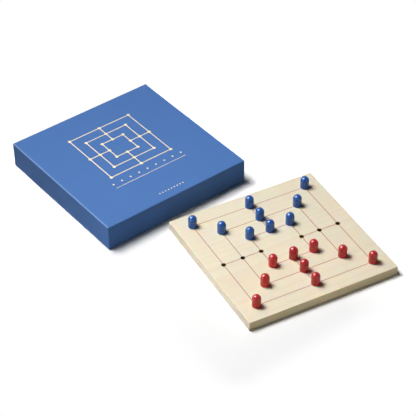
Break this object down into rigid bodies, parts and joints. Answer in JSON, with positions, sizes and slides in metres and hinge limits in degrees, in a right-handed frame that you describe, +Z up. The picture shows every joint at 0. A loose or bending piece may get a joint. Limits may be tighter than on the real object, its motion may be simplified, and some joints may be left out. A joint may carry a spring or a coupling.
{
  "type": "nine men's morris set",
  "caption": "Square rigid paper box with a full-depth lift-off lid, beside its drilled wooden game board with domed blue and red men standing in the holes.",
  "frame": {"origin": "middle of the underside of the box's base, on the table", "axes": "+X along the way the lid is read, +Y towards the lid's far side, +Z up; the board lies on the -Y side of the box, turned 10 degrees clockwise seen from above"},
  "size_m": [0.2778, 0.4563, 0.0351],
  "materials": {
    "greyboard": "dense recycled grey board, matt",
    "blue_paper": "matt coated covering paper",
    "stay_tape": "brown kraft tape",
    "liner_paper": "uncoated, matt",
    "gold_foil": "pale gold hot-stamped foil, satin",
    "leaflet_paper": "uncoated, matt",
    "board_wood": "pale sanded wood, thin matt lacquer",
    "line_paint": "thin brick-red paint",
    "blue_lacquer": "gloss blue lacquer on wood",
    "red_lacquer": "gloss red lacquer on wood"
  },
  "bodies": {
    "base": {"base_board": "greyboard", "base_corner_stays": "stay_tape", "base_wrap": "blue_paper", "base_bottom_paper": "blue_paper", "base_liner": "liner_paper"},
    "lid": {"lid_board": "greyboard", "lid_corner_stays": "stay_tape", "lid_wrap": "blue_paper", "lid_liner": "liner_paper", "lid_foil": "gold_foil"},
    "leaflet": {"rules_leaflet": "leaflet_paper"},
    "board": {"game_board": "board_wood", "painted_lines": "line_paint"},
    "blue_man_1": {"blue_man_1": "blue_lacquer"},
    "blue_man_2": {"blue_man_2": "blue_lacquer"},
    "blue_man_3": {"blue_man_3": "blue_lacquer"},
    "blue_man_4": {"blue_man_4": "blue_lacquer"},
    "blue_man_5": {"blue_man_5": "blue_lacquer"},
    "blue_man_6": {"blue_man_6": "blue_lacquer"},
    "blue_man_7": {"blue_man_7": "blue_lacquer"},
    "blue_man_8": {"blue_man_8": "blue_lacquer"},
    "blue_man_9": {"blue_man_9": "blue_lacquer"},
    "red_man_1": {"red_man_1": "red_lacquer"},
    "red_man_2": {"red_man_2": "red_lacquer"},
    "red_man_3": {"red_man_3": "red_lacquer"},
    "red_man_4": {"red_man_4": "red_lacquer"},
    "red_man_5": {"red_man_5": "red_lacquer"},
    "red_man_6": {"red_man_6": "red_lacquer"},
    "red_man_7": {"red_man_7": "red_lacquer"},
    "red_man_8": {"red_man_8": "red_lacquer"},
    "red_man_9": {"red_man_9": "red_lacquer"}
  },
  "joints": [
    {"name": "lid_lift", "type": "slide", "parent": "base", "child": "lid", "axis": [0, 0, 1], "range_m": [0, 0.08]},
    {"name": "leaflet_lift", "type": "slide", "parent": "base", "child": "leaflet", "axis": [0, 0, 1], "range_m": [0, 0.025]},
    {"name": "board_lift", "type": "slide", "parent": "base", "child": "board", "axis": [0, 0, 1], "range_m": [0, 0.05]},
    {"name": "blue_man_1_lift", "type": "slide", "parent": "board", "child": "blue_man_1", "axis": [0, 0, 1], "range_m": [0, 0.02]},
    {"name": "blue_man_2_lift", "type": "slide", "parent": "board", "child": "blue_man_2", "axis": [0, 0, 1], "range_m": [0, 0.02]},
    {"name": "blue_man_3_lift", "type": "slide", "parent": "board", "child": "blue_man_3", "axis": [0, 0, 1], "range_m": [0, 0.02]},
    {"name": "blue_man_4_lift", "type": "slide", "parent": "board", "child": "blue_man_4", "axis": [0, 0, 1], "range_m": [0, 0.02]},
    {"name": "blue_man_5_lift", "type": "slide", "parent": "board", "child": "blue_man_5", "axis": [0, 0, 1], "range_m": [0, 0.02]},
    {"name": "blue_man_6_lift", "type": "slide", "parent": "board", "child": "blue_man_6", "axis": [0, 0, 1], "range_m": [0, 0.02]},
    {"name": "blue_man_7_lift", "type": "slide", "parent": "board", "child": "blue_man_7", "axis": [0, 0, 1], "range_m": [0, 0.02]},
    {"name": "blue_man_8_lift", "type": "slide", "parent": "board", "child": "blue_man_8", "axis": [0, 0, 1], "range_m": [0, 0.02]},
    {"name": "blue_man_9_lift", "type": "slide", "parent": "board", "child": "blue_man_9", "axis": [0, 0, 1], "range_m": [0, 0.02]},
    {"name": "red_man_1_lift", "type": "slide", "parent": "board", "child": "red_man_1", "axis": [0, 0, 1], "range_m": [0, 0.02]},
    {"name": "red_man_2_lift", "type": "slide", "parent": "board", "child": "red_man_2", "axis": [0, 0, 1], "range_m": [0, 0.02]},
    {"name": "red_man_3_lift", "type": "slide", "parent": "board", "child": "red_man_3", "axis": [0, 0, 1], "range_m": [0, 0.02]},
    {"name": "red_man_4_lift", "type": "slide", "parent": "board", "child": "red_man_4", "axis": [0, 0, 1], "range_m": [0, 0.02]},
    {"name": "red_man_5_lift", "type": "slide", "parent": "board", "child": "red_man_5", "axis": [0, 0, 1], "range_m": [0, 0.02]},
    {"name": "red_man_6_lift", "type": "slide", "parent": "board", "child": "red_man_6", "axis": [0, 0, 1], "range_m": [0, 0.02]},
    {"name": "red_man_7_lift", "type": "slide", "parent": "board", "child": "red_man_7", "axis": [0, 0, 1], "range_m": [0, 0.02]},
    {"name": "red_man_8_lift", "type": "slide", "parent": "board", "child": "red_man_8", "axis": [0, 0, 1], "range_m": [0, 0.02]},
    {"name": "red_man_9_lift", "type": "slide", "parent": "board", "child": "red_man_9", "axis": [0, 0, 1], "range_m": [0, 0.02]}
  ]
}
